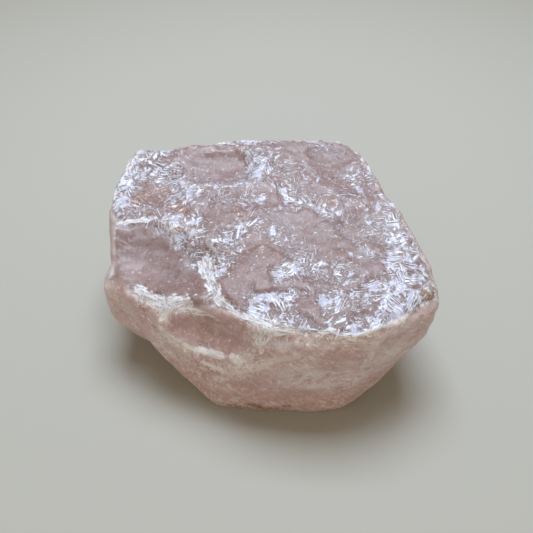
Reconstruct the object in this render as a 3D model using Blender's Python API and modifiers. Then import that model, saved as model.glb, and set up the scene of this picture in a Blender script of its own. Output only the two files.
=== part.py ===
"""A rough chunk of rose quartz, resting on its flat foot.

One solid: a convex block spanned between the stone's corners, with a cheek swelling out at its left,
hollowed by shallow fracture scoops, then broken by ledges and chipped all over.
Metres, +Z up, +Y away from the front.
"""

import itertools
import math

import bmesh
import bpy
import numpy as np
from mathutils import Matrix, Vector, noise

NAME = "rose_quartz"

# Corners of the block. Each run goes round the stone the same way, seen from above.
TOP_RIM_BACK = (
    (-0.071, 0.051, 0.067),
    (-0.065, 0.058, 0.070),
    (-0.038, 0.059, 0.071),
    (-0.009, 0.062, 0.072),
    (0.016, 0.062, 0.075),
    (0.041, 0.061, 0.073),
    (0.047, 0.055, 0.072),
    (0.052, 0.038, 0.069),
)
TOP_RIM_RIGHT = (
    (0.057, 0.011, 0.066),
    (0.061, -0.002, 0.065),
    (0.066, -0.014, 0.062),
    (0.069, -0.024, 0.060),
    (0.070, -0.033, 0.056),
)
TOP_RIM_FRONT = (
    (0.065, -0.037, 0.057),
    (0.056, -0.042, 0.058),
    (0.044, -0.051, 0.058),
    (0.033, -0.055, 0.058),
    (0.022, -0.054, 0.058),
    (0.002, -0.049, 0.058),
)
TOP_RIM_LEFT = (
    (-0.074, 0.037, 0.065),
    (-0.074, 0.024, 0.064),
    (-0.070, 0.010, 0.062),
    (-0.067, -0.001, 0.060),
    (-0.067, -0.008, 0.056),
)
BROW = ((-0.006, -0.048, 0.058), (-0.015, -0.039, 0.059), (-0.026, -0.021, 0.061))
FRONT_LEFT_EDGE = (
    (-0.060, -0.022, 0.047),
    (-0.058, -0.026, 0.036),
    (-0.053, -0.031, 0.028),
    (-0.050, -0.034, 0.024),
    (-0.044, -0.037, 0.017),
    (-0.037, -0.040, 0.011),
    (-0.027, -0.046, 0.002),
)
FRONT_LIP = (
    (-0.041, -0.039, 0.041),
    (-0.032, -0.044, 0.038),
    (-0.024, -0.0475, 0.036),
    (-0.012, -0.0525, 0.034),
    (0.004, -0.0545, 0.034),
)
RIGHT_KEEL = (
    (0.071, -0.035, 0.047),
    (0.070, -0.036, 0.037),
    (0.067, -0.036, 0.033),
    (0.061, -0.038, 0.026),
    (0.055, -0.041, 0.020),
    (0.051, -0.044, 0.014),
    (0.045, -0.047, 0.008),
    (0.037, -0.050, 0.003),
)
WAIST = (
    (0.071, -0.010, 0.045),
    (0.065, 0.015, 0.042),
    (0.059, 0.040, 0.042),
    (0.048, 0.064, 0.040),
    (0.010, 0.068, 0.038),
    (-0.030, 0.066, 0.040),
    (-0.066, 0.058, 0.042),
    (-0.075, 0.035, 0.034),
    (-0.076, 0.010, 0.036),
)
ANKLE = (
    (0.060, 0.000, 0.014),
    (0.054, 0.032, 0.013),
    (0.035, 0.054, 0.012),
    (-0.010, 0.061, 0.010),
    (-0.048, 0.052, 0.012),
    (-0.064, 0.032, 0.012),
    (-0.064, 0.008, 0.011),
)
# The cheek that swells out behind the front left edge: its keel, then corners buried in the block.
CHEEK_KEEL = (
    (-0.068, -0.014, 0.053),
    (-0.071, -0.016, 0.048),
    (-0.073, -0.017, 0.038),
    (-0.072, -0.018, 0.028),
    (-0.067, -0.018, 0.020),
    (-0.062, -0.019, 0.013),
)
CHEEK_ROOT = (
    (-0.065, -0.004, 0.057),
    (-0.050, -0.019, 0.051),
    (-0.047, -0.027, 0.032),
    (-0.045, -0.028, 0.014),
    (-0.058, 0.010, 0.008),
    (-0.073, 0.020, 0.034),
    (-0.050, 0.030, 0.030),
)
# The outline that rests on the ground. The block goes a little below it, to be cut off flat there.
FOOT = (
    (-0.022, -0.049),
    (-0.005, -0.051),
    (0.008, -0.0515),
    (0.022, -0.052),
    (0.029, -0.051),
    (0.045, -0.030),
    (0.048, -0.005),
    (0.042, 0.026),
    (0.022, 0.046),
    (-0.012, 0.050),
    (-0.040, 0.038),
    (-0.052, 0.010),
    (-0.046, -0.014),
    (-0.035, -0.036),
)
FOOT_SUNK = 0.002

# Fracture scoops: a point on the block, the way out of it, the dish's half length, half width and
# depth, and its turn about the way out, in degrees.
SCOOPS = {
    "left": ((-0.046, -0.009, 0.0585), (-0.20, -0.36, 0.91), 0.027, 0.019, 0.0065, 8),
    "brow": ((-0.0250, -0.0445, 0.0462), (-0.36, -0.86, 0.40), 0.0265, 0.0118, 0.0062, 5),
    "front": ((0.026, -0.0555, 0.034), (0.05, -1.0, 0.00), 0.026, 0.014, 0.0022, -6),
    "front_pit": ((0.018, -0.0540, 0.016), (0.0, -1.0, -0.05), 0.010, 0.006, 0.0022, 25),
    "right_notch": ((0.0570, 0.024, 0.067), (1.0, 0.10, 0.45), 0.009, 0.014, 0.0048, 0),
    "right_wall": ((0.0680, 0.002, 0.032), (1.0, 0.22, -0.25), 0.020, 0.012, 0.0032, 10),
    "back_wall": ((0.006, 0.0675, 0.040), (0.05, 1.0, 0.00), 0.027, 0.018, 0.0045, -10),
    "back_left": ((-0.052, 0.062, 0.042), (-0.45, 1.0, 0.10), 0.017, 0.020, 0.0035, 15),
    "back_right": ((0.054, 0.053, 0.034), (1.0, 0.85, -0.20), 0.016, 0.020, 0.0035, 0),
    "left_wall": ((-0.0755, 0.022, 0.040), (-1.0, 0.05, 0.05), 0.018, 0.014, 0.0030, 0),
    "top_middle": ((0.012, -0.012, 0.0645), (0.05, -0.12, 1.0), 0.034, 0.023, 0.0024, -10),
    "top_back": ((-0.025, 0.043, 0.0695), (0.00, -0.25, 1.0), 0.021, 0.011, 0.0022, 6),
    "top_far_right": ((0.030, 0.046, 0.0715), (0.10, -0.05, 1.0), 0.022, 0.011, 0.0016, -12),
    "top_left": ((-0.053, 0.030, 0.0655), (-0.10, -0.10, 1.0), 0.016, 0.012, 0.0018, 20),
}

# Ledges across the top: the plan points that the step runs through, with the low side on the right
# hand, the drop at the step, and how far out the low side comes back up.
LEDGES = (
    (((-0.033, 0.014), (-0.045, 0.009), (-0.053, 0.007), (-0.070, 0.006)), 0.0022, 0.020),
    (((-0.006, 0.033), (-0.023, 0.032), (-0.035, 0.030)), 0.0014, 0.012),
    (((-0.018, 0.062), (-0.010, 0.044), (-0.006, 0.032)), 0.0018, 0.020),
    (((0.042, 0.040), (0.026, 0.043), (0.008, 0.049)), 0.0010, 0.008),
    (((0.056, 0.024), (0.046, 0.031), (0.035, 0.032), (0.019, 0.033)), 0.0014, 0.010),
    (((0.050, -0.020), (0.041, -0.016), (0.031, 0.000), (0.029, 0.006)), 0.0015, 0.016),
    (((0.029, 0.006), (0.020, 0.015), (-0.004, 0.011)), 0.0015, 0.016),
    (((0.016, -0.020), (-0.002, -0.010), (-0.019, -0.017)), 0.0012, 0.009),
    (((0.058, -0.030), (0.040, -0.037), (0.025, -0.037), (0.013, -0.040)), 0.0006, 0.012),
)
# Ledges only break the faces above this height that look up more than this.
LEDGE_HEIGHT = 0.050
LEDGE_LOOKS_UP = 0.3
# How far the ledges' lines wander, over what distance, and where each direction reads the noise.
LEDGE_WANDER = 0.0016
LEDGE_WANDER_SIZE = 0.007
LEDGE_WANDER_SHIFTS = (3.7, 8.2)

# Chipping all over: the chips' size, the height from hollow to ridge, and the seed.
CHIPS = ((0.021, 0.0022, 11), (0.009, 0.0012, 23))
# How many cells the pattern runs before it repeats, and how much the chips' tilts and levels vary.
CHIP_TILE = 16
CHIP_TILT = 0.8
CHIP_LEVEL = 0.4
# The chips are longer one way and slant a little.
CHIP_STRETCH = Matrix.Rotation(math.radians(35), 3, "Y") @ Matrix.Diagonal((0.6, 1.0, 1.5))
# The walls are chipped less than the faces that look up more than this.
WALL_CHIPS = 0.75
CHIPPED_LOOKS_UP = 0.2
# Chips fade out towards the foot over this height.
FOOT_BLEND = 0.004

SURFACE_CELL = 0.0012
TRIANGLES = 8400

COLOUR = (0.60, 0.40, 0.39, 1.0)
ROUGHNESS = 0.25


def clear_scene():
    for thing in list(bpy.data.objects):
        bpy.data.objects.remove(thing)


def new_collection(name):
    made = bpy.data.collections.new(name)
    bpy.context.scene.collection.children.link(made)
    return made


def new_object(name, mesh, collection):
    made = bpy.data.objects.new(name, mesh)
    collection.objects.link(made)
    return made


def evaluated_mesh(thing):
    """The object's mesh with its modifiers in it."""
    graph = bpy.context.evaluated_depsgraph_get()
    return bpy.data.meshes.new_from_object(thing.evaluated_get(graph))


def block(name, corners, collection):
    """The convex block between the corners."""
    shape = bmesh.new()
    for corner in corners:
        shape.verts.new(corner)
    hull = bmesh.ops.convex_hull(shape, input=shape.verts)
    inside = [v for v in hull["geom_interior"] if isinstance(v, bmesh.types.BMVert)]
    bmesh.ops.delete(shape, geom=inside, context="VERTS")
    mesh = bpy.data.meshes.new(name)
    shape.to_mesh(mesh)
    shape.free()
    return new_object(name, mesh, collection)


def main_block(collection):
    """The stone's main body, going a little below the ground."""
    sunk_foot = [(x, y, -FOOT_SUNK) for x, y in FOOT]
    corners = itertools.chain(
        TOP_RIM_BACK, TOP_RIM_RIGHT, TOP_RIM_FRONT, TOP_RIM_LEFT, BROW, FRONT_LEFT_EDGE,
        FRONT_LIP, RIGHT_KEEL, WAIST, ANKLE, sunk_foot,
    )
    return block(NAME, corners, collection)


def scoop_cutter(name, centre, outward, half_length, half_width, depth, turn, collection):
    """An ellipsoid whose cap cuts a dish of that footprint and depth."""
    reach = (half_length * half_width / depth + depth) / 2
    share = math.sqrt(1 - (1 - depth / reach) ** 2)
    shape = bmesh.new()
    bmesh.ops.create_uvsphere(shape, u_segments=64, v_segments=32, radius=1)
    mesh = bpy.data.meshes.new(name)
    shape.to_mesh(mesh)
    shape.free()
    out = Vector(outward).normalized()
    sizes = Matrix.Diagonal((half_length / share, half_width / share, reach, 1))
    facing = out.to_track_quat("Z", "Y").to_matrix().to_4x4()
    spin = Matrix.Rotation(math.radians(turn), 4, "Z")
    mesh.transform(facing @ spin @ sizes)
    cutter = new_object(name, mesh, collection)
    cutter.location = Vector(centre) + out * (reach - depth)
    return cutter


def combine(stone, tool, operation):
    """Joins the tool to the stone or cuts it away. The tool itself isn't part of the model."""
    tool.hide_render = True
    tool.display_type = "WIRE"
    change = stone.modifiers.new(tool.name, "BOOLEAN")
    change.operation = operation
    change.solver = "EXACT"
    change.object = tool


def smooth_step(value):
    """Eases from 0 to 1 as the value goes from 0 to 1."""
    clipped = np.clip(value, 0, 1)
    return clipped * clipped * (3 - 2 * clipped)


def looking_up(normals, start):
    """0 where the surface looks up no more than the start, 1 from half a unit further on."""
    return smooth_step(2 * (normals[:, 2] - start))


def wander(points, size, shift):
    """Slow noise, about -1 to 1, at each point. Each shift along the noise gives other values."""
    away = Vector((shift, shift, shift))
    return np.array([noise.noise(Vector(point) / size + away) for point in points])


def ledge_drop(plan, line, drop, fade):
    """How far a ledge lowers each point of the plan: a sharp step, then back up over the fade."""
    lengths = [math.dist(a, b) for a, b in itertools.pairwise(line)]
    nearest = np.full(len(plan), np.inf)
    side = np.zeros(len(plan))
    along = np.zeros(len(plan))
    start = 0.0
    for (a, b), length in zip(itertools.pairwise(np.array(line)), lengths):
        way = (b - a) / length
        reach = np.clip((plan - a) @ way, 0, length)
        gap = plan - a - reach[:, None] * way
        distance = np.hypot(*gap.T)
        closer = distance < nearest
        nearest[closer] = distance[closer]
        side[closer] = (way[1] * gap[:, 0] - way[0] * gap[:, 1])[closer]
        along[closer] = (start + reach)[closer]
        start += length
    taper = np.sqrt(np.sin(math.pi * np.clip(along / start, 0, 1)).clip(0))
    step = smooth_step(side / SURFACE_CELL)
    return drop * taper * step * np.exp(-nearest / fade)


def chipped(points, size, seed):
    """Shallow bowls about `size` across that meet in sharp ridges: 0 in a bowl to about 1 on a ridge."""
    draws = np.random.default_rng(seed).random((CHIP_TILE, CHIP_TILE, CHIP_TILE, 7))
    scaled = points @ np.array(CHIP_STRETCH).T / size
    base = np.floor(scaled).astype(int)
    height = np.full(len(points), np.inf)
    for offset in itertools.product((-1, 0, 1), repeat=3):
        cell = base + offset
        draw = draws[tuple((cell % CHIP_TILE).T)]
        away = scaled - cell - draw[:, :3]
        tilt = (draw[:, 3:6] - 0.5) * CHIP_TILT
        bowl = (away**2).sum(1) + (away * tilt).sum(1) + CHIP_LEVEL * draw[:, 6]
        height = np.minimum(height, bowl)
    return height


def point_normals(points, quads):
    """The way out of the surface at each point, summed in the faces' order, so that it never varies."""
    a, b, c, d = (points[quads[:, corner]] for corner in range(4))
    faces = np.cross(c - a, d - b)
    total = np.zeros_like(points)
    for corner in range(4):
        np.add.at(total, quads[:, corner], faces)
    return total / np.linalg.norm(total, axis=1)[:, None]


def break_surface(mesh):
    """Moves the fine mesh's points: ledges lower the top, and chips cut in everywhere but the foot."""
    points = np.empty(len(mesh.vertices) * 3, np.float32)
    mesh.vertices.foreach_get("co", points)
    points = points.reshape(-1, 3).astype(float)
    normals = point_normals(points, np.array([face.vertices[:] for face in mesh.polygons]))

    drift = [wander(points, LEDGE_WANDER_SIZE, shift) for shift in LEDGE_WANDER_SHIFTS]
    plan = points[:, :2] + LEDGE_WANDER * np.array(drift).T
    on_top = looking_up(normals, LEDGE_LOOKS_UP) * (points[:, 2] > LEDGE_HEIGHT)
    lowered = sum(ledge_drop(plan, *ledge) for ledge in LEDGES)
    moved = points.copy()
    moved[:, 2] -= on_top * lowered

    off_foot = smooth_step(points[:, 2] / FOOT_BLEND)
    rough = WALL_CHIPS + (1 - WALL_CHIPS) * looking_up(normals, CHIPPED_LOOKS_UP)
    for size, height, seed in CHIPS:
        chips = chipped(points, size, seed)
        moved += normals * (height * (chips - chips.mean()) * off_foot * rough)[:, None]
    mesh.vertices.foreach_set("co", moved.astype(np.float32).ravel())
    mesh.update()


def cut_foot_flat(mesh):
    """Cuts everything below the ground off, and closes the cut with one flat face."""
    shape = bmesh.new()
    shape.from_mesh(mesh)
    everything = shape.verts[:] + shape.edges[:] + shape.faces[:]
    bmesh.ops.bisect_plane(
        shape, geom=everything, plane_co=(0, 0, 0), plane_no=(0, 0, -1), clear_outer=True
    )
    rim = [edge for edge in shape.edges if edge.is_boundary]
    bmesh.ops.holes_fill(shape, edges=rim)
    bmesh.ops.recalc_face_normals(shape, faces=shape.faces)
    bmesh.ops.triangulate(shape, faces=shape.faces)
    shape.to_mesh(mesh)
    shape.free()


def centre_on_foot(mesh):
    """Puts the origin under the middle of the stone's box, on the ground."""
    corners = np.array([v.co for v in mesh.vertices])
    middle = (corners.min(0) + corners.max(0)) / 2
    shift = Vector((-middle[0], -middle[1], -corners[:, 2].min()))
    mesh.transform(Matrix.Translation(shift))
    return shift


def quartz():
    material = bpy.data.materials.new(NAME)
    material.use_nodes = True
    shader = material.node_tree.nodes["Principled BSDF"]
    shader.inputs["Base Color"].default_value = COLOUR
    shader.inputs["Roughness"].default_value = ROUGHNESS
    shader.inputs["Metallic"].default_value = 0.0
    return material


def main():
    clear_scene()
    parts = new_collection(NAME)
    tools = new_collection("cutters")
    stone = main_block(parts)
    combine(stone, block("cheek", CHEEK_KEEL + CHEEK_ROOT, tools), "UNION")
    for name, sizes in SCOOPS.items():
        combine(stone, scoop_cutter("scoop_" + name, *sizes, tools), "DIFFERENCE")
    fine = stone.modifiers.new("fine_surface", "REMESH")
    fine.mode = "VOXEL"
    fine.voxel_size = SURFACE_CELL

    broken = evaluated_mesh(stone)
    break_surface(broken)
    stone.modifiers.clear()
    stone.data = broken
    thin = stone.modifiers.new("thin_out", "DECIMATE")
    thin.use_collapse_triangulate = True
    thin.ratio = TRIANGLES / (2 * len(broken.polygons))

    finished = evaluated_mesh(stone)
    cut_foot_flat(finished)
    shift = centre_on_foot(finished)
    stone.modifiers.clear()
    stone.data = finished
    finished.name = NAME
    finished.materials.append(quartz())
    for tool in list(tools.objects):
        bpy.data.objects.remove(tool)
    return shift


main()
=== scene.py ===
"""The looks of a rough rose quartz chunk, made over its solid.

The solid's mesh is made fine, flaked and chipped, and shaded as milky pink quartz with frosted
lilac-white flakes. Metres, +Z up, the photographed front towards -Y.
"""

import itertools
import math
from types import SimpleNamespace

import bpy
import numpy as np
from mathutils import Matrix, Vector, noise


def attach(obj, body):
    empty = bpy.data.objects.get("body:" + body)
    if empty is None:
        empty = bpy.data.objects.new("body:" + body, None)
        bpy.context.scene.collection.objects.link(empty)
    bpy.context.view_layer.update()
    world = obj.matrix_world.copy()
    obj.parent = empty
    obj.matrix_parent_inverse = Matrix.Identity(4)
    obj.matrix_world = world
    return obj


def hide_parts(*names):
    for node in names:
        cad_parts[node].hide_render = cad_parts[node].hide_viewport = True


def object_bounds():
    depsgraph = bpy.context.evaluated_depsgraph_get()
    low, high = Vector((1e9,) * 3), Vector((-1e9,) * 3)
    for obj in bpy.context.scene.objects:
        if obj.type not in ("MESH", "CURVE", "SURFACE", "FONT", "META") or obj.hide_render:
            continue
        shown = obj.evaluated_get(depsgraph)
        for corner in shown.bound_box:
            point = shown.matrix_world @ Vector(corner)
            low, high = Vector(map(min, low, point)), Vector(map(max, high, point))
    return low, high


NODE = "rose_quartz"

# The fine mesh: its cell, and how often the solid's facets are smoothed before they are chipped.
CELL = 0.00085
SMOOTHING = 2
# Chips fade out over this height above the foot, and points lower than this lie flat on it.
FOOT_BLEND = 0.004
FOOT_SNAP = 0.0004
# The mesh swells by this much before the chips go in, so that their ridges reach the solid's faces.
SWELL = 0.0006

# Chips: size, height from hollow to ridge, seed, and how much of that height a glassy face keeps.
CHIPS = ((0.0068, 0.00110, 5, 0.50), (0.0034, 0.00060, 6, 0.30), (0.0018, 0.00028, 7, 0.15))
# How many cells the pattern runs before it repeats, how deep its bowls are, how much they tilt and differ
# in level, and how they are turned and stretched.
CHIP_TILE = 16
CHIP_BOWL = 0.6
CHIP_TILT = 1.3
CHIP_LEVEL = 0.5
CHIP_STRETCH = Matrix.Rotation(math.radians(28), 3, "Z") @ Matrix.Diagonal((0.7, 1.15, 1.0))

# Frosted places: both ends of a line along the surface, how far the frost reaches, and how dense.
FROSTED = {
    "far_left_rim": ((-0.0710, 0.0210, 0.065), (-0.0650, 0.0421, 0.068), 0.0070, 1.25),
    "far_left_back": ((-0.0650, 0.0421, 0.068), (-0.0510, 0.0487, 0.069), 0.0060, 1.10),
    "far_left_middle": ((-0.0548, 0.0378, 0.066), (-0.0433, 0.0307, 0.065), 0.0055, 0.72),
    "far_left_front": ((-0.0650, 0.0130, 0.063), (-0.0560, 0.0120, 0.063), 0.0060, 0.55),
    "left_patch": ((-0.0433, 0.0307, 0.065), (-0.0340, 0.0180, 0.065), 0.0065, 0.75),
    "left_ledge": ((-0.0640, 0.0040, 0.060), (-0.0365, 0.0050, 0.064), 0.0030, 0.80),
    "left_plate": ((-0.0470, -0.0010, 0.060), (-0.0299, 0.0012, 0.064), 0.0032, 0.95),
    "scoop_edge": ((-0.0340, -0.0035, 0.061), (-0.0292, -0.0144, 0.056), 0.0052, 1.00),
    "ridge_head": ((-0.0230, -0.0200, 0.058), (-0.0160, -0.0250, 0.061), 0.0055, 0.80),
    "middle_left": ((-0.0169, -0.0113, 0.063), (-0.0080, -0.0038, 0.065), 0.0050, 0.60),
    "middle_plates": ((0.0036, -0.0300, 0.061), (0.0160, -0.0250, 0.061), 0.0036, 0.85),
    "front_plates": ((0.0020, -0.0427, 0.059), (0.0140, -0.0420, 0.060), 0.0045, 0.80),
    "front_left_band": ((-0.0023, -0.0475, 0.058), (0.0148, -0.0541, 0.058), 0.0050, 0.55),
    "front_needles": ((0.0269, -0.0430, 0.060), (0.0318, -0.0540, 0.058), 0.0055, 0.90),
    "centre_needles": ((0.0200, -0.0264, 0.061), (0.0330, -0.0280, 0.061), 0.0055, 0.55),
    "back_line": ((-0.0255, 0.0255, 0.066), (-0.0055, 0.0240, 0.067), 0.0026, 0.60),
    "back_plates": ((-0.0049, 0.0431, 0.070), (-0.0009, 0.0306, 0.069), 0.0055, 0.85),
    "back_rim": ((-0.0040, 0.0534, 0.073), (0.0400, 0.0550, 0.071), 0.0030, 0.40),
    "window": ((0.0101, 0.0190, 0.066), (0.0154, 0.0069, 0.067), 0.0032, 0.90),
    "arc_far": ((0.0170, 0.0130, 0.066), (0.0303, 0.0025, 0.066), 0.0024, 0.85),
    "arc_near": ((0.0310, 0.0000, 0.065), (0.0462, -0.0195, 0.062), 0.0020, 0.80),
    "right_back_rim": ((0.0496, 0.0500, 0.071), (0.0545, 0.0240, 0.068), 0.0038, 0.80),
    "right_streak": ((0.0280, 0.0260, 0.068), (0.0480, 0.0289, 0.069), 0.0030, 0.45),
    "back_streak": ((0.0200, 0.0530, 0.071), (0.0380, 0.0470, 0.071), 0.0030, 0.40),
    "right_plates": ((0.0540, 0.0050, 0.066), (0.0600, -0.0150, 0.064), 0.0055, 0.75),
    "right_middle": ((0.0566, -0.0256, 0.063), (0.0630, -0.0300, 0.062), 0.0055, 1.20),
    "right_corner": ((0.0509, -0.0385, 0.060), (0.0650, -0.0378, 0.060), 0.0072, 1.25),
    "right_front_rim": ((0.0453, -0.0518, 0.058), (0.0559, -0.0449, 0.059), 0.0055, 1.20),
    "front_right_band": ((0.0343, -0.0476, 0.059), (0.0509, -0.0385, 0.060), 0.0070, 0.60),
    "rim_left": ((0.0013, -0.0557, 0.0555), (0.0334, -0.0596, 0.0555), 0.0040, 0.85),
    "rim_middle": ((0.0334, -0.0596, 0.0555), (0.0488, -0.0542, 0.0566), 0.0036, 0.85),
    "rim_right": ((0.0488, -0.0542, 0.0566), (0.0703, -0.0373, 0.0571), 0.0036, 0.85),
    "shelf": ((-0.0510, -0.0310, 0.050), (-0.0420, -0.0350, 0.050), 0.0035, 0.95),
    "brow_lip": ((-0.0231, -0.0502, 0.036), (-0.0105, -0.0564, 0.037), 0.0042, 0.90),
    "under_lip": ((-0.0230, -0.0510, 0.030), (-0.0180, -0.0530, 0.029), 0.0030, 0.45),
    "lip_right": ((-0.0060, -0.0570, 0.040), (0.0020, -0.0570, 0.050), 0.0050, 0.35),
}
# White seams, given the same way.
SEAMS = {
    "ridge_head": ((-0.0244, -0.0190, 0.0571), (-0.0225, -0.0256, 0.0576), 0.0036, 0.75),
    "ridge": ((-0.0225, -0.0256, 0.0576), (-0.0165, -0.0410, 0.0581), 0.0028, 0.82),
    "ridge_low": ((-0.0165, -0.0410, 0.0581), (-0.0065, -0.0496, 0.0574), 0.0022, 0.85),
    "ridge_foot": ((-0.0065, -0.0496, 0.0574), (0.0027, -0.0546, 0.0569), 0.0035, 0.90),
    "ridge_end": ((0.0027, -0.0546, 0.0569), (0.0010, -0.0560, 0.0500), 0.0026, 0.80),
    # The shelf's seams are fuller than the ridge's: a painted lift for the shelf, which lies in shade.
    "shelf": ((-0.0527, -0.0293, 0.0501), (-0.0417, -0.0360, 0.0494), 0.0037, 1.00),
    "shelf_right": ((-0.0400, -0.0365, 0.0500), (-0.0311, -0.0384, 0.0534), 0.0036, 0.95),
    "shelf_point": ((-0.0373, -0.0385, 0.0491), (-0.0397, -0.0398, 0.0457), 0.0032, 1.00),
    "shelf_tail": ((-0.0309, -0.0404, 0.0495), (-0.0215, -0.0430, 0.0495), 0.0018, 0.95),
    "rim_left": ((0.0027, -0.0546, 0.0569), (0.0110, -0.0559, 0.0572), 0.0030, 0.85),
    "rim_middle": ((0.0110, -0.0559, 0.0572), (0.0393, -0.0577, 0.0571), 0.0016, 0.58),
    "rim_right": ((0.0393, -0.0577, 0.0571), (0.0579, -0.0489, 0.0570), 0.0018, 0.60),
    "far_left_rim": ((-0.0720, 0.0183, 0.0645), (-0.0660, 0.0421, 0.0680), 0.0030, 0.75),
    "far_left_ledge": ((-0.0642, 0.0036, 0.0609), (-0.0504, 0.0053, 0.0618), 0.0018, 0.80),
    "left_ledge": ((-0.0504, 0.0053, 0.0618), (-0.0365, 0.0050, 0.0643), 0.0010, 0.55),
    "brow_lip": ((-0.0322, -0.0468, 0.0352), (-0.0165, -0.0530, 0.0360), 0.0019, 0.92),
    "brow_lip_low": ((-0.0240, -0.0515, 0.0285), (-0.0175, -0.0540, 0.0280), 0.0020, 0.95),
    "brow_lip_right": ((-0.0110, -0.0553, 0.0385), (-0.0095, -0.0560, 0.0365), 0.0019, 0.85),
    "brow_right": ((-0.0027, -0.0538, 0.0503), (0.0000, -0.0560, 0.0440), 0.0016, 0.80),
    "cheek_edge": ((-0.0547, -0.0300, 0.0477), (-0.0450, -0.0400, 0.0374), 0.0011, 0.55),
    "cheek_edge_low": ((-0.0450, -0.0400, 0.0374), (-0.0257, -0.0508, 0.0296), 0.0011, 0.45),
}
# Glassy places, given the same way: they take frost away.
GLASSY = {
    "left_scoop": ((-0.0600, -0.0060, 0.054), (-0.0480, -0.0130, 0.051), 0.0100, 0.90),
    "left_scoop_right": ((-0.0499, -0.0052, 0.054), (-0.0376, -0.0151, 0.053), 0.0066, 0.90),
    "left_scoop_front": ((-0.0580, -0.0172, 0.050), (-0.0340, -0.0300, 0.054), 0.0065, 0.90),
    "behind_brow": ((-0.0330, -0.0250, 0.054), (-0.0260, -0.0360, 0.054), 0.0060, 0.85),
    "brow_scoop": ((-0.0300, -0.0420, 0.043), (-0.0120, -0.0480, 0.043), 0.0075, 0.70),
    "centre_left": ((-0.0085, -0.0308, 0.061), (-0.0123, -0.0373, 0.059), 0.0065, 0.90),
    "centre_hollow": ((0.0000, -0.0230, 0.062), (0.0010, -0.0370, 0.060), 0.0030, 0.85),
    "front_hollow": ((0.0165, -0.0440, 0.059), (0.0200, -0.0470, 0.059), 0.0035, 0.75),
    "centre_right": ((0.0180, 0.0000, 0.063), (0.0340, -0.0100, 0.063), 0.0085, 0.55),
    "centre": ((-0.0040, -0.0120, 0.063), (0.0040, -0.0200, 0.062), 0.0055, 0.80),
    "back_middle": ((-0.0320, 0.0480, 0.070), (-0.0150, 0.0380, 0.068), 0.0070, 0.65),
    "back_right": ((0.0200, 0.0420, 0.069), (0.0400, 0.0380, 0.069), 0.0070, 0.60),
}
# Milky places, given the same way.
MILKY = {
    "lip_line_left": ((-0.0198, -0.0538, 0.0207), (0.0016, -0.0586, 0.0406), 0.0016, 0.55),
    "lip_line_right": ((0.0016, -0.0586, 0.0406), (0.0139, -0.0601, 0.0460), 0.0018, 0.60),
    "brow_haze": ((-0.0410, -0.0425, 0.0370), (-0.0300, -0.0480, 0.0330), 0.0035, 0.60),
    "under_rim": ((-0.0030, -0.0530, 0.050), (0.0138, -0.0581, 0.052), 0.0045, 0.60),
    "under_rim_right": ((0.0138, -0.0581, 0.052), (0.0440, -0.0567, 0.050), 0.0030, 0.65),
    "under_rim_far": ((0.0440, -0.0567, 0.053), (0.0600, -0.0480, 0.053), 0.0032, 0.50),
    "front_patch": ((0.0150, -0.0590, 0.033), (0.0260, -0.0590, 0.024), 0.0075, 0.60),
    "front_fold": ((0.0440, -0.0567, 0.049), (0.0400, -0.0560, 0.022), 0.0022, 0.65),
    "front_right": ((0.0370, -0.0583, 0.030), (0.0531, -0.0509, 0.036), 0.0090, 0.32),
    "right_edge": ((0.0600, -0.0440, 0.047), (0.0470, -0.0500, 0.022), 0.0030, 0.45),
    "cheek_crease": ((-0.0560, -0.0230, 0.049), (-0.0380, -0.0430, 0.025), 0.0022, 0.65),
    "centre_right": ((0.0170, 0.0020, 0.064), (0.0340, -0.0080, 0.063), 0.0100, 0.15),
    "back_right": ((0.0200, 0.0420, 0.069), (0.0400, 0.0380, 0.069), 0.0080, 0.45),
    "right_spot": ((0.0425, -0.0165, 0.062), (0.0445, -0.0190, 0.062), 0.0035, 0.80),
    "right_side": ((0.0500, 0.0000, 0.066), (0.0580, -0.0120, 0.064), 0.0060, 0.40),
    "left_spot": ((-0.0290, 0.0110, 0.065), (-0.0280, 0.0090, 0.065), 0.0035, 0.60),
    "left_scoop": ((-0.0600, -0.0100, 0.053), (-0.0380, -0.0180, 0.053), 0.0100, 0.30),
    "cheek": ((-0.0690, -0.0150, 0.040), (-0.0600, -0.0270, 0.035), 0.0080, 0.35),
    # left_scoop_back lightens a steep band at the back of the left scoop: painted light, as the band gets
    # little of the window's light.
    "left_scoop_back": ((-0.0620, -0.0005, 0.0575), (-0.0400, -0.0040, 0.0590), 0.0045, 0.55),
    "left_side": ((-0.0715, 0.0150, 0.0560), (-0.0680, -0.0120, 0.0480), 0.0060, 0.35),
}
# Golden glints and dark ochre marks, given the same way.
GOLDEN = {
    "far_left": ((-0.0580, 0.0200, 0.062), (-0.0480, 0.0240, 0.063), 0.0040, 0.8),
    "left": ((-0.0390, 0.0100, 0.064), (-0.0330, 0.0090, 0.064), 0.0030, 0.6),
    "middle": ((-0.0140, 0.0060, 0.066), (-0.0100, 0.0000, 0.066), 0.0030, 0.6),
    "centre": ((0.0011, -0.0200, 0.063), (0.0020, -0.0260, 0.062), 0.0030, 0.7),
    "arc": ((0.0300, 0.0110, 0.067), (0.0320, 0.0080, 0.067), 0.0025, 0.7),
    "right": ((0.0510, 0.0080, 0.068), (0.0520, 0.0030, 0.068), 0.0030, 0.7),
}
OCHRE_MARKED_PLACES = {
    "right_corner": ((0.0640, -0.0390, 0.059), (0.0700, -0.0370, 0.057), 0.0022, 0.8),
    # These paint a dark ochre band along the bottom edge, where the stone meets the floor.
    "foot_line": ((-0.0160, -0.0560, 0.002), (0.0100, -0.0575, 0.002), 0.0013, 0.8),
    "foot_left": ((-0.0060, -0.0562, 0.0045), (0.0000, -0.0565, 0.0040), 0.0017, 1.0),
    "foot_middle": ((0.0095, -0.0572, 0.0060), (0.0125, -0.0575, 0.0060), 0.0012, 0.9),
}
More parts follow.
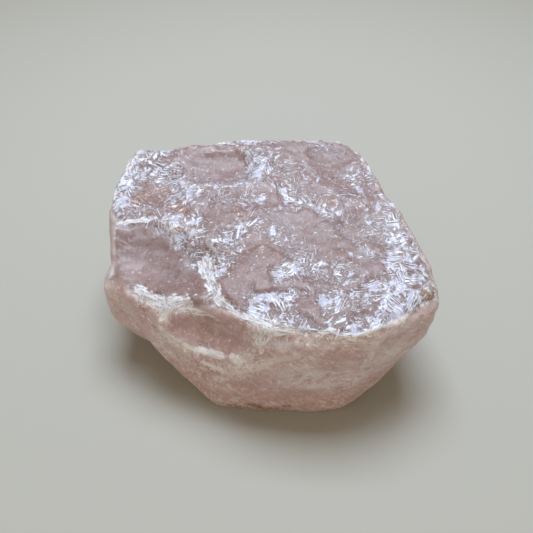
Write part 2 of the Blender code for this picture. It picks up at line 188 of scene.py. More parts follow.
# A place counts in full up to half its reach, and fades out at this many times its reach.
PLACE_FADE = 1.5
# The places' borders wander by this much, over this distance, with a shift in the noise for each axis.
PLACE_WANDER = 0.0016
PLACE_WANDER_SIZE = 0.006
PLACE_WANDER_SHIFTS = (1.3, 5.1, 9.4)

# Frost, from 0 to 1: what the top and the walls have everywhere, what the named places add, how much the
# top's own comes and goes and over what distance, and what sharp edges and the rim add.
TOP_FROST = 0.23
WALL_FROST = 0.05
FROSTED_SHARE = 0.75
FROST_DRIFT = 0.38
FROST_DRIFT_SIZE = 0.011
FROST_DRIFT_SHIFT = 2.2
EDGE_FROST = 0.45
RIM_FROST = 0.22
# Chips are at their full height where there is more frost than one part in this.
ROUGH_PER_FROST = 1.8
# The surface starts to count as looking up at this upward share of its normal, and does so in full this
# much further up, give or take a wandering part.
LOOKS_UP = 0.25
LOOKS_UP_SOFT = 0.5
LOOKS_UP_WANDER = 0.30
LOOKS_UP_WANDER_SIZE = 0.003
LOOKS_UP_WANDER_SHIFT = 4.4
# Between these heights the surface that looks up changes from the walls' colours to the top's, softened
# over some rounds of neighbours, and this much of the top's colours runs down from the rim. The walls'
# colours are painted paler than the top's: painted light for the walls, which get less of the window's
# light.
TOP_FROM = 0.044
TOP_TO = 0.052
TOP_ROUNDS = 4
RIM_SPILL = 0.45
# Rounds of neighbours for the directions in which chips go in, for edges, and to even out a bulge.
NORMAL_ROUNDS = 5
EDGE_ROUNDS = 12
BULGE_ROUNDS = 3
# How far a point stands out of its neighbours, or lies below them, to count as a full edge or hollow.
# Frost on edges starts this share further out.
EDGE_BULGE = 0.0005
HOLLOW_BULGE = 0.0006
EDGE_START = 0.2
# The rim of the top, found by spreading over more neighbours, and its own chips: their depth, size, seed
# and how narrow they are. It fades in upwards from this share of the height where the top starts.
RIM_ROUNDS = 50
RIM_BULGE = 0.0012
RIM_START = 0.5
RIM_CHIP = 0.0020
RIM_CHIP_SIZE = 0.0045
RIM_CHIP_SEED = 11
RIM_CHIP_NARROW = 1.6

QUARTZ_IOR = 1.544

# The photo's width and focal length in pixels, and how far above its middle level lines to the back meet,
# which gives how steeply the camera looks down: 44.6 degrees.
PHOTO_WIDTH = 533
PHOTO_FOCAL = 534
PHOTO_VANISHING = 526
CAMERA_PLACE = (0.0022, -0.1820, 0.2150)
CAMERA_DOWN = math.atan(PHOTO_VANISHING / PHOTO_FOCAL)
CAMERA_SENSOR = 36.0
CAMERA_LENS = CAMERA_SENSOR * PHOTO_FOCAL / PHOTO_WIDTH
CAMERA_NEAR = 0.005

# The studio: place, width and depth, power in watts and colour of each light, the room and the floor.
WINDOW = ((0.01, 0.27, 0.95), (0.56, 0.44), 11.6, (0.77, 0.875, 1.0))
FRONT_FILL = ((-0.10, -0.76, 0.28), (0.70, 0.40), 1.1, (1.0, 0.92, 0.84))
LIT_PLACE = (0, 0, 0.03)
ROOM_COLOUR = (1.0, 0.85, 0.62, 1)
ROOM_STRENGTH = 0.34
FLOOR_WIDTH = 4
FLOOR_COLOUR = (0.425, 0.415, 0.376, 1)
FLOOR_ROUGHNESS = 0.9


def fine_copy(source):
    """A fine, even mesh of the solid, as a new object."""
    piece = source.copy()
    piece.data = source.data.copy()
    piece.name = "rose_quartz_stone"
    piece.parent = None
    for key in list(piece.keys()):
        del piece[key]
    bpy.context.scene.collection.objects.link(piece)
    even = piece.modifiers.new("even", "REMESH")
    even.mode = "VOXEL"
    even.voxel_size = CELL
    soft = piece.modifiers.new("soft", "SMOOTH")
    soft.iterations = SMOOTHING
    graph = bpy.context.evaluated_depsgraph_get()
    mesh = bpy.data.meshes.new_from_object(piece.evaluated_get(graph))
    piece.modifiers.clear()
    piece.data = mesh
    mesh.name = piece.name
    return piece


def read_vectors(items, name):
    """The named vector of each item, as a row each."""
    values = np.empty(len(items) * 3, np.float32)
    items.foreach_get(name, values)
    return values.reshape(-1, 3).astype(float)


def smooth_step(value):
    """Eases from 0 to 1 as the value goes from 0 to 1."""
    clipped = np.clip(value, 0, 1)
    return clipped * clipped * (3 - 2 * clipped)


def drift(points, size, shift):
    """Slow noise, about -1 to 1, at each point."""
    away = Vector((shift, shift, shift))
    return np.array([noise.noise(Vector(point) / size + away) for point in points])


def chipped(points, size, seed):
    """Shallow bowls about `size` across that meet in sharp ridges: 0 in a bowl to about 1 on a ridge."""
    draws = np.random.default_rng(seed).random((CHIP_TILE, CHIP_TILE, CHIP_TILE, 7))
    scaled = points @ np.array(CHIP_STRETCH).T / size
    base = np.floor(scaled).astype(int)
    height = np.full(len(points), np.inf)
    for offset in itertools.product((-1, 0, 1), repeat=3):
        cell = base + offset
        draw = draws[tuple((cell % CHIP_TILE).T)]
        away = scaled - cell - draw[:, :3]
        tilt = (draw[:, 3:6] - 0.5) * CHIP_TILT
        bowl = CHIP_BOWL * (away**2).sum(1) + (away * tilt).sum(1) + CHIP_LEVEL * draw[:, 6]
        height = np.minimum(height, bowl)
    return height


def near_lines(points, places):
    """How strongly the named places reach each point: the densest one counts."""
    strongest = np.zeros(len(points))
    for start, end, reach, amount in places.values():
        start = np.array(start)
        way = np.array(end) - start
        along = np.clip((points - start) @ way / (way @ way), 0, 1)
        distance = np.linalg.norm(points - start - along[:, None] * way, axis=1)
        strongest = np.maximum(strongest, amount * smooth_step(PLACE_FADE - distance / reach))
    return strongest


def seam_ways(points):
    """The direction in which the strongest seam runs at each point."""
    strongest = np.zeros(len(points))
    ways = np.zeros((len(points), 3))
    for name, seam in SEAMS.items():
        start, end = np.array(seam[0]), np.array(seam[1])
        reached = near_lines(points, {name: seam})
        ways[reached > strongest] = (end - start) / np.linalg.norm(end - start)
        strongest = np.maximum(strongest, reached)
    return ways


def neighbour_mean(mesh, points):
    """A function that averages columns of values over each point's neighbours, some times over."""
    edges = np.empty(len(mesh.edges) * 2, np.int32)
    mesh.edges.foreach_get("vertices", edges)
    a, b = edges.reshape(-1, 2).T
    count = np.bincount(np.concatenate((a, b)), minlength=len(points))

    def spread(values, rounds):
        columns = list(values.T)
        for _ in range(rounds):
            columns = [
                (np.bincount(a, v[b], len(points)) + np.bincount(b, v[a], len(points))) / count
                for v in columns
            ]
        return np.array(columns).T

    return spread


def bulging(points, normals, spread, rounds):
    """How far each point stands out of its neighbours, averaged over that many rounds."""
    height = ((points - spread(points, rounds)) * normals).sum(1, keepdims=True)
    return spread(height, BULGE_ROUNDS)[:, 0]


def give(mesh, name, values):
    """Gives the mesh's points a mark from 0 to 1."""
    attribute = mesh.attributes.new(name, "FLOAT", "POINT")
    attribute.data.foreach_set("value", np.clip(values, 0, 1).astype(np.float32))


def surface_marks(points, normals, spread):
    """Where the top, edges, rim, frost, seams and the rest lie, each as values at the points."""
    turned = LOOKS_UP_WANDER * drift(points, LOOKS_UP_WANDER_SIZE, LOOKS_UP_WANDER_SHIFT)
    up = smooth_step((normals[:, 2] + turned - LOOKS_UP) / LOOKS_UP_SOFT)
    convex = bulging(points, normals, spread, EDGE_ROUNDS)
    rim = smooth_step(bulging(points, normals, spread, RIM_ROUNDS) / RIM_BULGE)
    rim *= smooth_step(points[:, 2] / TOP_FROM - RIM_START)
    shifts = [drift(points, PLACE_WANDER_SIZE, shift) for shift in PLACE_WANDER_SHIFTS]
    wandered = points + PLACE_WANDER * np.stack(shifts, axis=1)
    glassy = near_lines(wandered, GLASSY)
    seam = near_lines(wandered, SEAMS)

    frost = TOP_FROST * up + WALL_FROST
    frost += FROST_DRIFT * up * drift(points, FROST_DRIFT_SIZE, FROST_DRIFT_SHIFT)
    frost += EDGE_FROST * smooth_step(convex / EDGE_BULGE - EDGE_START) + RIM_FROST * rim
    frost = np.maximum(frost, 0) + FROSTED_SHARE * near_lines(wandered, FROSTED)
    frost *= 1 - glassy
    frost = np.clip(np.maximum(frost, seam), 0, 1)

    off_foot = smooth_step(points[:, 2] / FOOT_BLEND)
    high_up = smooth_step((wandered[:, 2] - TOP_FROM) / (TOP_TO - TOP_FROM))
    spill = RIM_SPILL * smooth_step((wandered[:, 2] - TOP_TO) / (TOP_TO - TOP_FROM))
    top = np.maximum(up * high_up, spill)[:, None]
    marks = {
        "frost": frost * off_foot,
        "golden": near_lines(wandered, GOLDEN),
        "stained": near_lines(wandered, OCHRE_MARKED_PLACES),
        "top": spread(top, TOP_ROUNDS)[:, 0],
        "seam": seam * off_foot,
        "hollow": smooth_step(-convex / HOLLOW_BULGE),
        "edge": smooth_step(convex / EDGE_BULGE),
        "rim": rim,
        "milky": near_lines(wandered, MILKY),
        "glassy": glassy,
        "up": up,
    }
    return marks, frost, seam_ways(wandered)


def carved_depth(points, frost, rim):
    """How deep chips and the rim's notches go in at each point: deeper where there is frost."""
    rough = smooth_step(frost * ROUGH_PER_FROST)
    carved = np.zeros(len(points))
    for size, height, seed, kept in CHIPS:
        ridges = np.clip(chipped(points, size, seed), 0, 1)
        carved += height * (1 - ridges) * (kept + (1 - kept) * rough)
    notched = np.clip(chipped(points, RIM_CHIP_SIZE, RIM_CHIP_SEED), 0, 1)
    return carved + RIM_CHIP * rim * np.clip(1 - RIM_CHIP_NARROW * notched, 0, 1)


def dress_mesh(piece, low, high):
    """Flakes and chips the piece's surface, keeps it in the solid's box, and marks where frost lies."""
    mesh = piece.data
    points = read_vectors(mesh.vertices, "co")
    normals = read_vectors(mesh.vertex_normals, "vector")
    spread = neighbour_mean(mesh, points)
    marks, frost, ways = surface_marks(points, normals, spread)

    even_normals = spread(normals, NORMAL_ROUNDS)
    even_normals /= np.linalg.norm(even_normals, axis=1, keepdims=True)
    off_foot = smooth_step(points[:, 2] / FOOT_BLEND)
    outward = (SWELL - carved_depth(points, frost, marks["rim"])) * off_foot
    moved = np.clip(points + even_normals * outward[:, None], low, high)
    moved[:, 2][points[:, 2] < FOOT_SNAP] = low[2]
    mesh.vertices.foreach_set("co", moved.astype(np.float32).ravel())
    mesh.update()
    mesh.shade_smooth()

    for name, values in marks.items():
        give(mesh, name, values)
    way = mesh.attributes.new("way", "FLOAT_VECTOR", "POINT")
    way.data.foreach_set("vector", ways.astype(np.float32).ravel())


class Nodes:
    """Short ways to add shader nodes to one material."""

    def __init__(self, material):
        self.tree = material.node_tree

    def add(self, kind, **settings):
        made = self.tree.nodes.new(kind)
        for name, value in settings.items():
            setattr(made, name, value)
        return made

    def put(self, socket, value):
        """Links the value to the socket if it's a socket itself, and otherwise sets it."""
        if isinstance(value, bpy.types.NodeSocket):
            self.tree.links.new(value, socket)
        else:
            socket.default_value = value

    def math(self, operation, *values):
        made = self.add("ShaderNodeMath", operation=operation)
        for socket, value in zip(made.inputs, values):
            self.put(socket, value)
        return made.outputs[0]

    def times(self, first, second):
        return self.math("MULTIPLY", first, second)

    def rest(self, value):
        """What is left of 1."""
        return self.math("SUBTRACT", 1.0, value)

    def around_zero(self, noise):
        return self.math("SUBTRACT", noise, 0.5)

    def vector(self, operation, a, b):
        made = self.add("ShaderNodeVectorMath", operation=operation)
        self.put(made.inputs[0], a)
        self.put(made.inputs[1], b)
        return made.outputs["Value" if operation == "DOT_PRODUCT" else "Vector"]

    def scale(self, vector, by):
        made = self.add("ShaderNodeVectorMath", operation="SCALE")
        self.put(made.inputs[0], vector)
        self.put(made.inputs["Scale"], by)
        return made.outputs["Vector"]

    def ramp(self, value, start, end):
        """0 at the start, 1 at the end, clamped."""
        made = self.add("ShaderNodeMapRange", interpolation_type="SMOOTHSTEP")
        self.put(made.inputs["Value"], value)
        self.put(made.inputs["From Min"], start)
        self.put(made.inputs["From Max"], end)
        return made.outputs["Result"]

    def mix(self, share, first, second):
        """Mixes two colours, which are the sixth and seventh sockets after the share."""
        made = self.add("ShaderNodeMix", data_type="RGBA")
        self.put(made.inputs[0], share)
        self.put(made.inputs[6], first)
        self.put(made.inputs[7], second)
        return made.outputs[2]

    def tint(self, colour, other, share, most):
        """Mixes at most this much of the other colour in."""
        return self.mix(self.times(share, most), colour, other)

    def blend(self, share, first, second):
        """Mixes two numbers, which are the second and third sockets after the share."""
        made = self.add("ShaderNodeMix", data_type="FLOAT")
        self.put(made.inputs[0], share)
        self.put(made.inputs[2], first)
        self.put(made.inputs[3], second)
        return made.outputs[0]

    def noise(self, where, size, detail=2.0, colour=False):
        made = self.add("ShaderNodeTexNoise")
        self.put(made.inputs["Vector"], where)
        made.inputs["Scale"].default_value = 1 / size
        made.inputs["Detail"].default_value = detail
        return made.outputs["Color" if colour else "Fac"]

    def clouds(self, where, size, detail, start, end):
        """Patches of noise, from none at the start value to full at the end."""
        return self.ramp(self.noise(where, size, detail), start, end)

    def thin_lines(self, where, size, edge):
        """Thin lines where the noise crosses its middle."""
        wave = self.math("ABSOLUTE", self.around_zero(self.noise(where, size, detail=3.0)))
        return self.rest(self.ramp(wave, *edge))

    def cells(self, where, size):
        """The random colours of straight-sided cells about that size."""
        made = self.add("ShaderNodeTexVoronoi", distance="CHEBYCHEV")
        self.put(made.inputs["Vector"], where)
        made.inputs["Scale"].default_value = 1 / size
        return made.outputs["Color"]

    def slanted(self, where, turn, stretch):
        """The place seen along turned axes, where patterns come out longer by the stretch."""
        made = self.add("ShaderNodeMapping", vector_type="TEXTURE")
        self.put(made.inputs["Vector"], where)
        made.inputs["Rotation"].default_value = [math.radians(angle) for angle in turn]
        made.inputs["Scale"].default_value = stretch
        return made.outputs[0]

    def mark(self, name):
        return self.add("ShaderNodeAttribute", attribute_name=name).outputs["Fac"]

    def warp(self, where, size, amount, detail=2.0):
        """The place moved about by noise."""
        pushed = self.vector("SUBTRACT", self.noise(where, size, detail, colour=True), (0.5, 0.5, 0.5))
        return self.vector("ADD", where, self.scale(pushed, amount))


MARKS = ("frost", "golden", "stained", "top", "seam", "hollow", "edge", "rim", "milky", "glassy", "up")

# The place that a pattern is read at is pushed about by noise: the noise's size, and how far it pushes.
BROKEN = (0.0040, 0.0007)
RAGGED = (0.0008, 0.00020)
FOLDED = (0.010, 0.006)
BENT_VEINS = (0.008, 0.003)
PATCHED_VEINS = (0.006, 0.006)

# Patches of noise: size, detail, and the values at which a patch starts and is full.
BODY_CLOUDS = (0.022, 3.0, 0.35, 0.65)
VEILS = (0.0022, 4.0, 0.42, 0.70)
WALL_FOLDS = (0.007, 5.0, 0.36, 0.64)
VEIN_PATCHES = (0.009, 2.0, 0.40, 0.60)
MILK_PATCHES = (0.0030, 4.0, 0.30, 0.60)
MIST_PATCHES = (0.0035, 3.0, 0.30, 0.70)
OCHRE_SPOTS = (0.0016, 3.0, 0.40, 0.55)

# Frost comes in patches of this size, where the mark of frost has begun.
PATCH_SIZE = 0.0028
PATCHY = 1.4
PATCH_FROM_FROST = (0.0, 0.35)

# Flakes: size, share in how bright they are, turn in degrees and stretch.
FLAKES = (
    (0.0055, 0.36, (15, 10, -25), (0.75, 1.7, 1.0)),
    (0.0030, 0.28, (-20, 20, 25), (0.75, 1.6, 1.0)),
    (0.0016, 0.20, (10, -30, -55), (0.75, 1.5, 1.0)),
    (0.0008, 0.10, (40, 5, 10), (0.80, 1.4, 1.0)),
)
FLAKE_GRAIN = 0.06
FLAKE_GRAIN_SIZE = 0.0007
# A plate is where the flakes are brighter than this level, which frost brings down.
PLATE_LEVEL = 0.87
PLATE_PER_FROST = 0.34
PLATE_EDGE = (0.0, 0.07)
# How much of a plate shows. It varies with one draw of the flakes at this scale.
PLATE_SHOWN = 0.55
PLATE_VARIES = 0.40
PLATE_DRAW_SCALE = 2
PLATE_WHITE = (0.50, 0.62)
SEAM_OVER_PLATE = 0.75

# Hackles, thin sheets that cut the surface in straight lines, in some of the flakes: their width and
# length, from the largest flakes to the smallest.
HACKLES = ((0.00037, 0.0058), (0.00034, 0.0042), (0.00030, 0.0029), (0.00026, 0.0020))
HACKLED_SHARE = 0.05
HACKLED_PER_FROST = 0.66
STREAK_EDGE = (0.60, 0.65)
STREAK_PER_FROST = 0.06
STREAK_FAINTEST = 0.5
FULL_STREAK_FROST = (0.0, 0.6)
WALL_STREAK_FROST = (0.15, 0.50)
STREAK_SHARE = 0.88
GLASSY_OVER_STREAK = 0.75
# The height of the hackles' relief, and the share of it that white streaks add.
HACKLE_STEP = 0.00038
STREAK_STEP = 0.3
# How much the hackles stand out in the surface where there is no frost, and how soon they do in full.
BRUSHED_LEAST = 0.3
BRUSHED_FROST = (0.0, 0.4)

# Thin crackle lines through the frost.
CRACKLE_SIZE = 0.0050
CRACKLE_EDGE = (0.002, 0.010)
CRACKLE_FROST = (0.05, 0.60)
CRACKLE_SHARE = 0.6

# Veins in the walls: turn in degrees and size. They are stretched, and denser in patches.
VEINS = (((0, 130, 10), 0.0045), ((15, 35, 0), 0.0030))
VEIN_STRETCH = (1.0, 1.0, 2.6)
VEIN_EDGE = (0.004, 0.030)
VEIN_LEAST = 0.15
VEIN_PER_PATCH = 0.45
FIBRE_SIZE = 0.0015
FIBRE_TURN = (0, 130, 10)
FIBRE_STRETCH = (1.0, 1.0, 2.4)
FIBRE_PALE = (0.50, 0.68)
FIBRE_PALE_SHARE = 0.20
FIBRE_DEEP = (0.50, 0.34)
FIBRE_DEEP_SHARE = 0.24
# Convex edges of the walls are painted pale by this share: a painted glow of light through the thin edges.
EDGE_GLOW_SHARE = 0.35
FOLD_TURN = (0, 35, 20)
FOLD_STRETCH = (1.0, 1.0, 2.0)
# The walls are painted redder between these heights, down to the foot: painted warm light low on the walls.
WALL_LOW_HEIGHTS = (0.036, 0.004)
WALL_LOW_SHARE = 0.65
WALL_MAUVE_SHARE = 0.48

# Seams: how the noise and the strands tear them, and how far the strands are drawn out.
TORN_SIZE = 0.0022
TORN = 1.8
STRAND_SIZE = 0.0008
STRAND_DRAWN = 0.8
STRAND_TORN = 1.6
SEAM_EDGE = (0.30, 0.62)
STRAND_EDGE = (0.42, 0.58)
SEAM_SHARE = 0.90
# Seams are a cooler white above these heights; on the walls they are painted paler, painted light like the
# walls' colours.
SEAM_HIGH = (0.043, 0.048)

# The top's colour follows the hackles and specks: brighter above the middle of their noise, darker below.
LINES_BRIGHT = (0.50, 0.62)
LINES_BRIGHT_SHARE = 0.75
LINES_DARK = (0.50, 0.37)
LINES_DARK_SHARE = 0.62
SPECK_SIZE = 0.0011
SPECKS_BRIGHT = (0.50, 0.66)
SPECKS_DARK = (0.50, 0.34)
SPECK_SHARE = 0.30
GLASSY_SHARE = 0.70
VEIL_SHARE = 0.8
VEIL_FROST = (0.0, 0.7)
GOLDEN_LINES = (0.52, 0.62)
MIST_SHARE = 0.60
# Hollows are darkened by this share: painted shade.
HOLLOW_SHADE_SHARE = 0.45

# How rough the stone is, and how much less so where the frost is bright.
ROUGHNESS = 0.44
FROST_GLOSS = 0.18
# How much light passes through the walls, and how much more of it through the top.
CLEAR_WALL = 0.12
CLEAR_TOP = 0.22
DEPTH_TINT = (0.92, 0.66, 0.64, 1)
DEPTH_DENSITY = 12.0
GLOW = 0.7
GLOW_RADIUS = (1.0, 0.82, 0.78)
GLOW_REACH = 0.009

PINK_DARK = (0.240, 0.140, 0.130, 1)
PINK_DEEP = (0.345, 0.200, 0.190, 1)
GLASSY_PINK = (0.350, 0.198, 0.180, 1)
PINK_GREY = (0.385, 0.270, 0.275, 1)
HAZE = (0.490, 0.430, 0.450, 1)
MILK = (0.570, 0.520, 0.545, 1)
# The walls' colours are painted paler than the top's: painted light, standing in for light that the stone
# carries into its walls.
WALL_DEEP = (0.420, 0.240, 0.225, 1)
WALL_MAUVE = (0.500, 0.325, 0.330, 1)
WALL_PINK = (0.570, 0.365, 0.355, 1)
WALL_PALE = (0.650, 0.480, 0.475, 1)
WALL_LOW = (0.620, 0.370, 0.320, 1)
WALL_VEIN = (0.935, 0.855, 0.850, 1)
# Painted shade for the hollows.
HOLLOW_SHADE = (0.430, 0.270, 0.255, 1)
MIST = (0.855, 0.785, 0.770, 1)
SEAM_GREY = (0.520, 0.445, 0.445, 1)
SEAM_PALE = (0.800, 0.695, 0.670, 1)
SEAM_WHITE = (0.850, 0.865, 0.910, 1)
CREAM = (0.950, 0.920, 0.900, 1)
# Lilac and bluish white, on flakes and streaks that look up, are partly painted reflection of the window's
# bluish light.
LILAC = (0.585, 0.600, 0.775, 1)
WHITE = (0.800, 0.850, 0.955, 1)
GOLD = (0.900, 0.640, 0.440, 1)
OCHRE = (0.330, 0.165, 0.040, 1)


def shared_patterns(n):
    """The marks given to the mesh, and the patterns that several features are made from."""
    p = SimpleNamespace(**{name: n.mark(name) for name in MARKS})
    p.place = n.add("ShaderNodeTexCoord").outputs["Object"]
    p.broken = n.warp(p.place, *BROKEN)
    p.ragged = n.warp(p.broken, *RAGGED)
    parts = n.add("ShaderNodeSeparateXYZ")
    n.put(parts.inputs[0], p.place)
    p.height = parts.outputs["Z"]
    patches = n.around_zero(n.noise(p.broken, PATCH_SIZE, detail=3.0))
    patches = n.times(patches, n.ramp(p.frost, *PATCH_FROM_FROST))
    p.frost = n.math("MULTIPLY_ADD", patches, PATCHY, p.frost)
    return p


def flake_cells(n, p):
    """For each scale of flakes, their cells' random colours and these colours' three numbers."""
    scales = []
    for size, _, turn, stretch in FLAKES:
        colours = n.cells(n.slanted(p.ragged, turn, stretch), size)
        numbers = n.add("ShaderNodeSeparateColor")
        n.put(numbers.inputs[0], colours)
        scales.append((colours, numbers.outputs))
    return scales


def painted_glint_plates(n, p, cells):
    """Flakes at four scales, each leaning its own way. Where their leanings add up they are painted in as
    plates: partly white flakes, partly painted glints of the window's light.
    """
    lit = n.times(n.noise(p.ragged, FLAKE_GRAIN_SIZE, detail=3.0), FLAKE_GRAIN)
    for (_, share, _, _), (_, numbers) in zip(FLAKES, cells):
        lit = n.math("MULTIPLY_ADD", numbers[0], share, lit)
    level = n.math("MULTIPLY_ADD", p.frost, -PLATE_PER_FROST, PLATE_LEVEL)
    return n.ramp(n.math("SUBTRACT", lit, level), *PLATE_EDGE)


def hackle_sheets(n, p, cells):
    """The sheets' noise: in each flake they run their own way, and larger flakes' own cover smaller ones'.

    Gives that noise, and the mean of all the scales' noises for the fine relief.
    """
    lines = 0.5
    grain = 0.0
    hackled = n.math("MULTIPLY_ADD", p.frost, HACKLED_PER_FROST, HACKLED_SHARE)
    for (colours, numbers), (width, length) in zip(reversed(cells), reversed(HACKLES)):
        turned = n.add("ShaderNodeVectorRotate", rotation_type="EULER_XYZ")
        n.put(turned.inputs["Vector"], p.broken)
        n.put(turned.inputs["Rotation"], n.scale(colours, math.tau))
        thin = n.slanted(turned.outputs[0], (0, 0, 0), (1.0, length / width, length / width))
        sheets = n.noise(thin, width, detail=1.0)
        grain = n.math("MULTIPLY_ADD", sheets, 1 / len(HACKLES), grain)
        lines = n.blend(n.math("LESS_THAN", numbers[2], hackled), lines, sheets)
    return lines, grain


def streaks(n, p):
    """White streaks: the hackles' crests, fainter outside the frost, and thin crackle lines. Painted white,
    they are partly white fractures and partly painted glints.
    """
    streak = n.ramp(n.math("MULTIPLY_ADD", p.frost, STREAK_PER_FROST, p.lines), *STREAK_EDGE)
    frosty = n.ramp(p.frost, *FULL_STREAK_FROST)
    streak = n.times(streak, n.math("MULTIPLY_ADD", frosty, 1 - STREAK_FAINTEST, STREAK_FAINTEST))
    streak = n.times(streak, n.math("MAXIMUM", p.top, n.ramp(p.frost, *WALL_STREAK_FROST)))
    streak = n.times(streak, n.math("MULTIPLY_ADD", p.glassy, -GLASSY_OVER_STREAK, 1.0))
    crackle = n.thin_lines(p.broken, CRACKLE_SIZE, CRACKLE_EDGE)
    crackle = n.times(crackle, n.ramp(p.frost, *CRACKLE_FROST))
    return n.math("MAXIMUM", streak, n.times(crackle, CRACKLE_SHARE))


def wall_veins(n, p, fibre):
    """Milky veins in the walls, denser in patches and none in the glassy scoops, over a fine fibre, with
    convex edges painted pale as a painted glow.
    """
    vein = 0.0
    for turn, size in VEINS:
        where = n.slanted(n.warp(p.place, *BENT_VEINS, detail=3.0), turn, VEIN_STRETCH)
        vein = n.math("MAXIMUM", vein, n.thin_lines(where, size, VEIN_EDGE))
    patch = n.clouds(n.warp(p.place, *PATCHED_VEINS), *VEIN_PATCHES)
    patch = n.math("MAXIMUM", patch, p.milky)
    vein = n.times(vein, n.math("MULTIPLY_ADD", patch, VEIN_PER_PATCH, VEIN_LEAST))
    vein = n.times(vein, n.rest(p.glassy))
    vein = n.math("MULTIPLY_ADD", n.ramp(fibre, *FIBRE_PALE), FIBRE_PALE_SHARE, vein)
    return n.math("MAXIMUM", vein, n.times(p.edge, EDGE_GLOW_SHARE))


def wall_colour(n, p):
    """Pink folds with veins, redder near the foot as painted warm light, and mauve in the glassy scoop."""
    fold = n.slanted(n.warp(p.place, *FOLDED), FOLD_TURN, FOLD_STRETCH)
    wall = n.mix(n.clouds(fold, *WALL_FOLDS), WALL_PINK, WALL_PALE)
    wall = n.tint(wall, WALL_LOW, n.ramp(p.height, *WALL_LOW_HEIGHTS), WALL_LOW_SHARE)
    wall = n.tint(wall, WALL_MAUVE, p.glassy, WALL_MAUVE_SHARE)
    fibre = n.noise(n.slanted(p.broken, FIBRE_TURN, FIBRE_STRETCH), FIBRE_SIZE, detail=4.0)
    wall = n.mix(wall_veins(n, p, fibre), wall, WALL_VEIN)
    return n.tint(wall, WALL_DEEP, n.ramp(fibre, *FIBRE_DEEP), FIBRE_DEEP_SHARE)


def top_colour(n, p):
    """Pinkish grey with pale veils, light and dark along the hackles, and smooth where it is glassy."""
    body = n.mix(n.clouds(p.place, *BODY_CLOUDS), PINK_DEEP, PINK_GREY)
    veil = n.times(n.clouds(p.ragged, *VEILS), n.ramp(p.frost, *VEIL_FROST))
    body = n.tint(body, HAZE, veil, VEIL_SHARE)
    body = n.tint(body, HAZE, n.ramp(p.lines, *LINES_BRIGHT), LINES_BRIGHT_SHARE)
    body = n.tint(body, PINK_DARK, n.ramp(p.lines, *LINES_DARK), LINES_DARK_SHARE)
    body = n.tint(body, GLASSY_PINK, p.glassy, GLASSY_SHARE)
    speck = n.noise(p.ragged, SPECK_SIZE)
    body = n.tint(body, HAZE, n.ramp(speck, *SPECKS_BRIGHT), SPECK_SHARE)
    return n.tint(body, PINK_DARK, n.ramp(speck, *SPECKS_DARK), SPECK_SHARE)


def body_colour(n, p):
    """The milky body: the walls' colour and the top's, with milk, mist along the rim and painted shade in
    the deep hollows.
    """
    body = n.mix(p.top, wall_colour(n, p), top_colour(n, p))
    milk = n.times(p.milky, n.clouds(p.broken, *MILK_PATCHES))
    # Milk is painted paler on the walls than on the top: painted light, like the walls' colours.
    body = n.mix(milk, body, n.mix(p.top, MIST, MILK))
    mist = n.times(p.rim, n.clouds(p.broken, *MIST_PATCHES))
    body = n.tint(body, MIST, mist, MIST_SHARE)
    return n.tint(body, HOLLOW_SHADE, p.hollow, HOLLOW_SHADE_SHARE)


def white_seams(n, p):
    """White seams, broken up, with strands drawn out along each seam's own way: how much, and colour."""
    torn = n.times(n.around_zero(n.noise(p.broken, TORN_SIZE, detail=4.0)), TORN)
    way = n.add("ShaderNodeAttribute", attribute_name="way").outputs["Vector"]
    along = n.times(n.vector("DOT_PRODUCT", p.broken, way), STRAND_DRAWN)
    strand = n.noise(n.vector("SUBTRACT", p.broken, n.scale(way, along)), STRAND_SIZE, detail=3.0)
    torn = n.math("MULTIPLY_ADD", n.around_zero(strand), STRAND_TORN, torn)
    seam = n.ramp(n.math("ADD", p.seam, torn), *SEAM_EDGE)
    high = n.ramp(p.height, *SEAM_HIGH)
    dull = n.mix(high, SEAM_PALE, SEAM_GREY)
    bright = n.mix(high, CREAM, SEAM_WHITE)
    return seam, n.mix(n.ramp(strand, *STRAND_EDGE), dull, bright)


def surface_colour(n, p, plate_draw):
    """The body with all that lies on it, from the seams up to the dark ochre marks."""
    colour = n.tint(body_colour(n, p), p.seam_colour, p.seam, SEAM_SHARE)
    # Streaks and plates are painted cream on the walls, a painted lift for walls in shade, and bluish white
    # or lilac where they look up, partly painted glints of the window's light.
    colour = n.tint(colour, n.mix(p.up, CREAM, WHITE), p.streak, STREAK_SHARE)
    shown = n.times(p.plate, n.math("MULTIPLY_ADD", plate_draw, PLATE_VARIES, PLATE_SHOWN))
    shown = n.times(shown, n.math("MULTIPLY_ADD", p.seam, -SEAM_OVER_PLATE, 1.0))
    flake = n.mix(n.ramp(p.lines, *PLATE_WHITE), LILAC, WHITE)
    colour = n.mix(shown, colour, n.mix(p.up, CREAM, flake))
    colour = n.mix(n.times(p.golden, n.ramp(p.lines, *GOLDEN_LINES)), colour, GOLD)
    ochre_mark = n.times(p.stained, n.clouds(p.place, *OCHRE_SPOTS))
    return n.mix(ochre_mark, colour, OCHRE)


def fine_relief(n, p, grain):
    """The bump of the hackles, stronger in the frost."""
    brushed = n.math("MULTIPLY_ADD", n.ramp(p.frost, *BRUSHED_FROST), 1 - BRUSHED_LEAST, BRUSHED_LEAST)
    height = n.times(n.math("MULTIPLY_ADD", p.streak, STREAK_STEP, grain), brushed)
    bump = n.add("ShaderNodeBump")
    bump.inputs["Strength"].default_value = 1.0
    bump.inputs["Distance"].default_value = 1.0
    n.put(bump.inputs["Height"], n.times(height, HACKLE_STEP))
    return bump.outputs["Normal"]


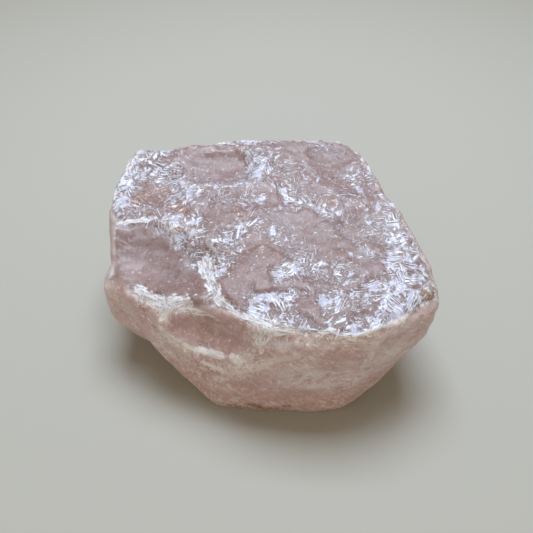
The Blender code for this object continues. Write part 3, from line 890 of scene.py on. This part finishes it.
def quartz():
    """Milky pink quartz, frosted where it is chipped: surface, glow beneath it and tint in its depth."""
    material = bpy.data.materials.new("rose_quartz_looks")
    material.use_nodes = True
    n = Nodes(material)
    shader = material.node_tree.nodes["Principled BSDF"]

    p = shared_patterns(n)
    cells = flake_cells(n, p)
    p.plate = painted_glint_plates(n, p, cells)
    p.lines, grain = hackle_sheets(n, p, cells)
    p.streak = streaks(n, p)
    p.seam, p.seam_colour = white_seams(n, p)
    bright = n.math("MAXIMUM", p.plate, p.streak)
    _, draws = cells[PLATE_DRAW_SCALE]
    n.put(shader.inputs["Base Color"], surface_colour(n, p, draws[2]))
    n.put(shader.inputs["Roughness"], n.math("MULTIPLY_ADD", bright, -FROST_GLOSS, ROUGHNESS))
    n.put(shader.inputs["Normal"], fine_relief(n, p, grain))

    shader.inputs["IOR"].default_value = QUARTZ_IOR
    clear = n.rest(n.math("MAXIMUM", bright, p.seam))
    clear = n.times(clear, n.math("MULTIPLY_ADD", p.top, CLEAR_TOP, CLEAR_WALL))
    n.put(shader.inputs["Transmission Weight"], clear)
    depth = n.add("ShaderNodeVolumeAbsorption")
    depth.inputs["Color"].default_value = DEPTH_TINT
    depth.inputs["Density"].default_value = DEPTH_DENSITY
    n.put(material.node_tree.nodes["Material Output"].inputs["Volume"], depth.outputs["Volume"])
    shader.inputs["Subsurface Weight"].default_value = GLOW
    shader.inputs["Subsurface Radius"].default_value = GLOW_RADIUS
    shader.inputs["Subsurface Scale"].default_value = GLOW_REACH
    return material


def new_light(name, place, size, power, colour):
    """A rectangle of light that faces the stone."""
    data = bpy.data.lights.new(name, "AREA")
    data.shape = "RECTANGLE"
    data.size, data.size_y = size
    data.energy = power
    data.color = colour
    light = bpy.data.objects.new(name, data)
    light.location = place
    light.rotation_euler = (Vector(LIT_PLACE) - Vector(place)).to_track_quat("-Z", "Y").to_euler()
    bpy.context.scene.collection.objects.link(light)


def studio():
    """A pale floor, a broad window light above, a weak fill from the front and a soft even room."""
    world = bpy.data.worlds.new("room")
    bpy.context.scene.world = world
    world.use_nodes = True
    room = world.node_tree.nodes["Background"]
    room.inputs["Color"].default_value = ROOM_COLOUR
    room.inputs["Strength"].default_value = ROOM_STRENGTH
    new_light("window", *WINDOW)
    new_light("fill", *FRONT_FILL)

    bpy.ops.mesh.primitive_plane_add(size=FLOOR_WIDTH)
    floor = bpy.context.object
    floor.name = "floor"
    material = bpy.data.materials.new("floor")
    material.use_nodes = True
    shader = material.node_tree.nodes["Principled BSDF"]
    shader.inputs["Base Color"].default_value = FLOOR_COLOUR
    shader.inputs["Roughness"].default_value = FLOOR_ROUGHNESS
    floor.data.materials.append(material)


def camera():
    """Above the front, looking down at the stone as the photo's camera did."""
    data = bpy.data.cameras.new("camera")
    data.sensor_width = CAMERA_SENSOR
    data.lens = CAMERA_LENS
    data.clip_start = CAMERA_NEAR
    made = bpy.data.objects.new("camera", data)
    made.location = CAMERA_PLACE
    made.rotation_euler = (math.pi / 2 - CAMERA_DOWN, 0, 0)
    bpy.context.scene.collection.objects.link(made)
    bpy.context.scene.camera = made


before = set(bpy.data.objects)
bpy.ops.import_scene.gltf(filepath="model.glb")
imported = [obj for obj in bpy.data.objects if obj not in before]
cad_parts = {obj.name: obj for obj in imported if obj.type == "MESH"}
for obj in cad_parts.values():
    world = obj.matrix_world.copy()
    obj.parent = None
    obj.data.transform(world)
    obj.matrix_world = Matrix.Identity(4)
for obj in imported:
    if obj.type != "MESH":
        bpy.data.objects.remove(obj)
solid_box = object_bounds()

stone = fine_copy(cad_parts[NODE])
dress_mesh(stone, *(np.array(corner) for corner in solid_box))
stone.data.materials.clear()
stone.data.materials.append(quartz())
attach(stone, "root")
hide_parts(NODE)

studio()
camera()
bpy.context.scene.view_settings.view_transform = "Standard"
